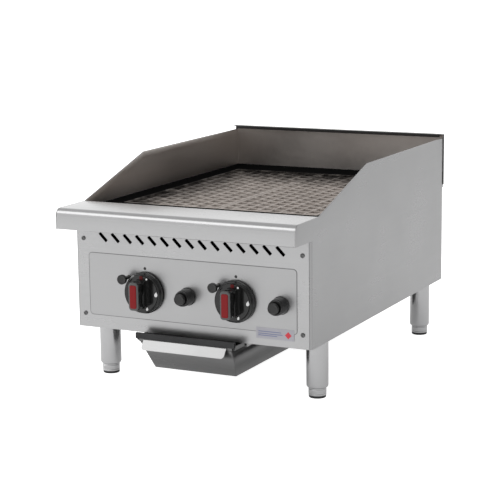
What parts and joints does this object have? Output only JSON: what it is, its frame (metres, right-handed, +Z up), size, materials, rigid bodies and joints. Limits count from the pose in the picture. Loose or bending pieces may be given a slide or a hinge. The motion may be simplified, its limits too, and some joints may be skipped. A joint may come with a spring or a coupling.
{
  "type": "gas charbroiler",
  "caption": "Counter-top gas charbroiler with cast grates, splash guards, push-turn knobs, igniter buttons, a pull-out drip tray and screw-adjusted legs.",
  "frame": {"origin": "on the counter, under the middle of the outline", "axes": "+Z up, controls face -Y, +X to the right of someone facing the controls"},
  "size_m": [0.4564, 0.73, 0.39],
  "materials": {
    "stainless_body": "fine brushed",
    "stainless_guard": "fine brushed",
    "overlay_film": "satin film",
    "plate_film": "printed film",
    "screw_steel": "bright",
    "black_steel": "heat-proof black",
    "cast_iron": "seasoned",
    "burner_steel": "dull",
    "pipe_steel": "plain",
    "brass": "machined",
    "stem_steel": "machined",
    "knob_plastic": "satin black",
    "red_plastic": "satin red",
    "button_plastic": "satin black",
    "ceramic": "glazed ceramic",
    "leg_steel": "satin turned",
    "pad_rubber": "moulded",
    "tray_steel": "satin",
    "lip_steel": "bright",
    "grip_rubber": "moulded"
  },
  "bodies": {
    "charbroiler_body": {"left_side_panel": "stainless_body", "right_side_panel": "stainless_body", "rear_panel": "stainless_body", "front_panel": "stainless_body", "floor_pan": "stainless_body", "front_ledge": "stainless_body", "left_splash_guard": "stainless_guard", "right_splash_guard": "stainless_guard", "back_splash_guard": "stainless_guard", "control_overlay": "overlay_film", "data_plate": "plate_film", "panel_screws": "screw_steel", "leg_bolts": "screw_steel", "left_firebox_wall": "black_steel", "right_firebox_wall": "black_steel", "firebox_front_wall": "black_steel", "firebox_rear_wall": "black_steel", "grate_support_bar": "black_steel", "left_radiant": "cast_iron", "right_radiant": "cast_iron", "left_burner": "burner_steel", "right_burner": "burner_steel", "gas_manifold": "pipe_steel", "pilot_tubes": "pipe_steel", "gas_valves": "brass", "gas_orifices": "brass", "pilot_valves": "brass", "gas_inlet_fitting": "brass", "igniter_housings": "button_plastic", "spark_electrodes": "ceramic", "front_left_leg": "leg_steel", "front_right_leg": "leg_steel", "rear_left_leg": "leg_steel", "rear_right_leg": "leg_steel", "tray_rails": "tray_steel"},
    "left_valve_stem": {"left_valve_stem": "stem_steel"},
    "left_knob": {"left_knob": "knob_plastic", "left_knob_insert": "red_plastic"},
    "left_igniter_button": {"left_igniter_button": "button_plastic"},
    "left_pilot_button": {"left_pilot_button": "button_plastic"},
    "left_grate": {"left_grate": "cast_iron"},
    "left_air_shutter": {"left_air_shutter": "burner_steel"},
    "right_valve_stem": {"right_valve_stem": "stem_steel"},
    "right_knob": {"right_knob": "knob_plastic", "right_knob_insert": "red_plastic"},
    "right_igniter_button": {"right_igniter_button": "button_plastic"},
    "right_pilot_button": {"right_pilot_button": "button_plastic"},
    "right_grate": {"right_grate": "cast_iron"},
    "right_air_shutter": {"right_air_shutter": "burner_steel"},
    "drip_tray": {"drip_tray": "tray_steel", "tray_pull_lip": "lip_steel", "tray_grip_bar": "grip_rubber"},
    "front_left_foot": {"front_left_foot": "leg_steel", "front_left_foot_pad": "pad_rubber"},
    "front_right_foot": {"front_right_foot": "leg_steel", "front_right_foot_pad": "pad_rubber"},
    "rear_left_foot": {"rear_left_foot": "leg_steel", "rear_left_foot_pad": "pad_rubber"},
    "rear_right_foot": {"rear_right_foot": "leg_steel", "rear_right_foot_pad": "pad_rubber"}
  },
  "joints": [
    {"name": "left_knob_turn", "type": "hinge", "parent": "charbroiler_body", "child": "left_valve_stem", "pos_m": [-0.088, -0.3, 0.172], "axis": [0, -1, 0], "range_deg": [0, 160]},
    {"name": "left_knob_press", "type": "slide", "parent": "left_valve_stem", "child": "left_knob", "axis": [0, 1, 0], "range_m": [0, 0.003], "stiffness_N_per_m": 900, "springref_m": -0.003},
    {"name": "left_igniter_press", "type": "slide", "parent": "charbroiler_body", "child": "left_igniter_button", "axis": [0, 1, 0], "range_m": [0, 0.005], "stiffness_N_per_m": 600, "springref_m": -0.003},
    {"name": "left_pilot_press", "type": "slide", "parent": "charbroiler_body", "child": "left_pilot_button", "axis": [0, 1, 0], "range_m": [0, 0.004], "stiffness_N_per_m": 600, "springref_m": -0.003},
    {"name": "left_grate_lift", "type": "slide", "parent": "charbroiler_body", "child": "left_grate", "axis": [0, 0, 1], "range_m": [0, 0.12]},
    {"name": "left_air_shutter_turn", "type": "hinge", "parent": "charbroiler_body", "child": "left_air_shutter", "pos_m": [-0.088, -0.238, 0.172], "axis": [0, -1, 0], "range_deg": [0, 60]},
    {"name": "right_knob_turn", "type": "hinge", "parent": "charbroiler_body", "child": "right_valve_stem", "pos_m": [0.088, -0.3, 0.172], "axis": [0, -1, 0], "range_deg": [0, 160]},
    {"name": "right_knob_press", "type": "slide", "parent": "right_valve_stem", "child": "right_knob", "axis": [0, 1, 0], "range_m": [0, 0.003], "stiffness_N_per_m": 900, "springref_m": -0.003},
    {"name": "right_igniter_press", "type": "slide", "parent": "charbroiler_body", "child": "right_igniter_button", "axis": [0, 1, 0], "range_m": [0, 0.005], "stiffness_N_per_m": 600, "springref_m": -0.003},
    {"name": "right_pilot_press", "type": "slide", "parent": "charbroiler_body", "child": "right_pilot_button", "axis": [0, 1, 0], "range_m": [0, 0.004], "stiffness_N_per_m": 600, "springref_m": -0.003},
    {"name": "right_grate_lift", "type": "slide", "parent": "charbroiler_body", "child": "right_grate", "axis": [0, 0, 1], "range_m": [0, 0.12]},
    {"name": "right_air_shutter_turn", "type": "hinge", "parent": "charbroiler_body", "child": "right_air_shutter", "pos_m": [0.088, -0.238, 0.172], "axis": [0, -1, 0], "range_deg": [0, 60]},
    {"name": "drip_tray_slide", "type": "slide", "parent": "charbroiler_body", "child": "drip_tray", "axis": [0, -1, 0], "range_m": [0, 0.43]},
    {"name": "front_left_foot_turn", "type": "hinge", "parent": "charbroiler_body", "child": "front_left_foot", "pos_m": [-0.205, -0.2313, 0.02], "axis": [0, 0, 1], "continuous": true},
    {"name": "front_right_foot_turn", "type": "hinge", "parent": "charbroiler_body", "child": "front_right_foot", "pos_m": [0.205, -0.2313, 0.02], "axis": [0, 0, 1], "continuous": true},
    {"name": "rear_left_foot_turn", "type": "hinge", "parent": "charbroiler_body", "child": "rear_left_foot", "pos_m": [-0.205, 0.2655, 0.02], "axis": [0, 0, 1], "continuous": true},
    {"name": "rear_right_foot_turn", "type": "hinge", "parent": "charbroiler_body", "child": "rear_right_foot", "pos_m": [0.205, 0.2655, 0.02], "axis": [0, 0, 1], "continuous": true}
  ]
}
